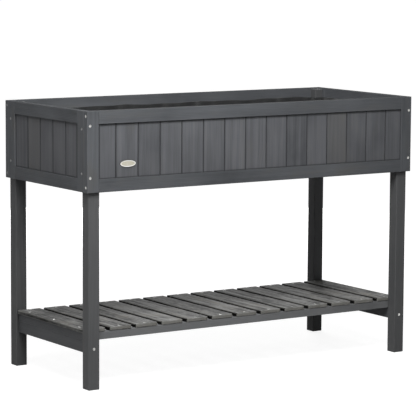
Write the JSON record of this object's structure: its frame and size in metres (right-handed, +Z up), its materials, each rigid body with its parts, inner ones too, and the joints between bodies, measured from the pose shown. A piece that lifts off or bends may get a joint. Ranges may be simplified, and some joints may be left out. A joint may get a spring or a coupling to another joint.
{
  "type": "raised garden bed",
  "caption": "Raised garden bed: a framed box of tongue-and-groove boards with a felt liner, on square legs that also carry a slatted storage shelf.",
  "frame": {"origin": "on the ground, under the middle of the bed", "axes": "+X along the bed from its left end to its right, +Y from the front to the rear, +Z up"},
  "size_m": [1.1, 0.46, 0.76],
  "materials": {
    "frame_wood": "charcoal grey water-based stain on planed softwood, matt",
    "board_wood": "charcoal grey water-based stain on planed softwood, matt, streaky along the grain",
    "leg_wood": "charcoal grey water-based stain on planed softwood, matt",
    "shelf_wood": "charcoal grey stain, thinner and mottled on the slats, matt",
    "floor_wood": "charcoal grey stain, matt",
    "liner_felt": "black non-woven felt",
    "screw_steel": "bright zinc-plated",
    "badge_plate": "blank white oval plate with a thin grey rim"
  },
  "bodies": {
    "root": {"leg_front_left": "leg_wood", "leg_front_right": "leg_wood", "leg_rear_left": "leg_wood", "leg_rear_right": "leg_wood", "front_top_rail": "frame_wood", "front_bottom_rail": "frame_wood", "front_left_stile": "frame_wood", "front_right_stile": "frame_wood", "front_boards": "board_wood", "rear_top_rail": "frame_wood", "rear_bottom_rail": "frame_wood", "rear_left_stile": "frame_wood", "rear_right_stile": "frame_wood", "rear_boards": "board_wood", "left_top_rail": "frame_wood", "left_bottom_rail": "frame_wood", "left_front_stile": "frame_wood", "left_rear_stile": "frame_wood", "left_boards": "board_wood", "right_top_rail": "frame_wood", "right_bottom_rail": "frame_wood", "right_front_stile": "frame_wood", "right_rear_stile": "frame_wood", "right_boards": "board_wood", "front_ledger": "floor_wood", "rear_ledger": "floor_wood", "floor_board_1": "floor_wood", "floor_board_2": "floor_wood", "floor_board_3": "floor_wood", "floor_board_4": "floor_wood", "floor_board_5": "floor_wood", "floor_board_6": "floor_wood", "floor_board_7": "floor_wood", "floor_board_8": "floor_wood", "floor_board_9": "floor_wood", "shelf_left_rail": "shelf_wood", "shelf_right_rail": "shelf_wood", "shelf_left_batten": "shelf_wood", "shelf_right_batten": "shelf_wood", "shelf_front_batten": "shelf_wood", "shelf_rear_batten": "shelf_wood", "shelf_slat_1": "shelf_wood", "shelf_slat_2": "shelf_wood", "shelf_slat_3": "shelf_wood", "shelf_slat_4": "shelf_wood", "shelf_slat_5": "shelf_wood", "shelf_slat_6": "shelf_wood", "shelf_slat_7": "shelf_wood", "shelf_slat_8": "shelf_wood", "shelf_slat_9": "shelf_wood", "shelf_slat_10": "shelf_wood", "shelf_slat_11": "shelf_wood", "shelf_slat_12": "shelf_wood", "shelf_slat_13": "shelf_wood", "liner": "liner_felt", "stile_end_screws": "screw_steel", "panel_screws": "screw_steel", "shelf_rail_screws": "screw_steel", "slat_screws": "screw_steel", "ledger_screws": "screw_steel"}
  },
  "joints": []
}
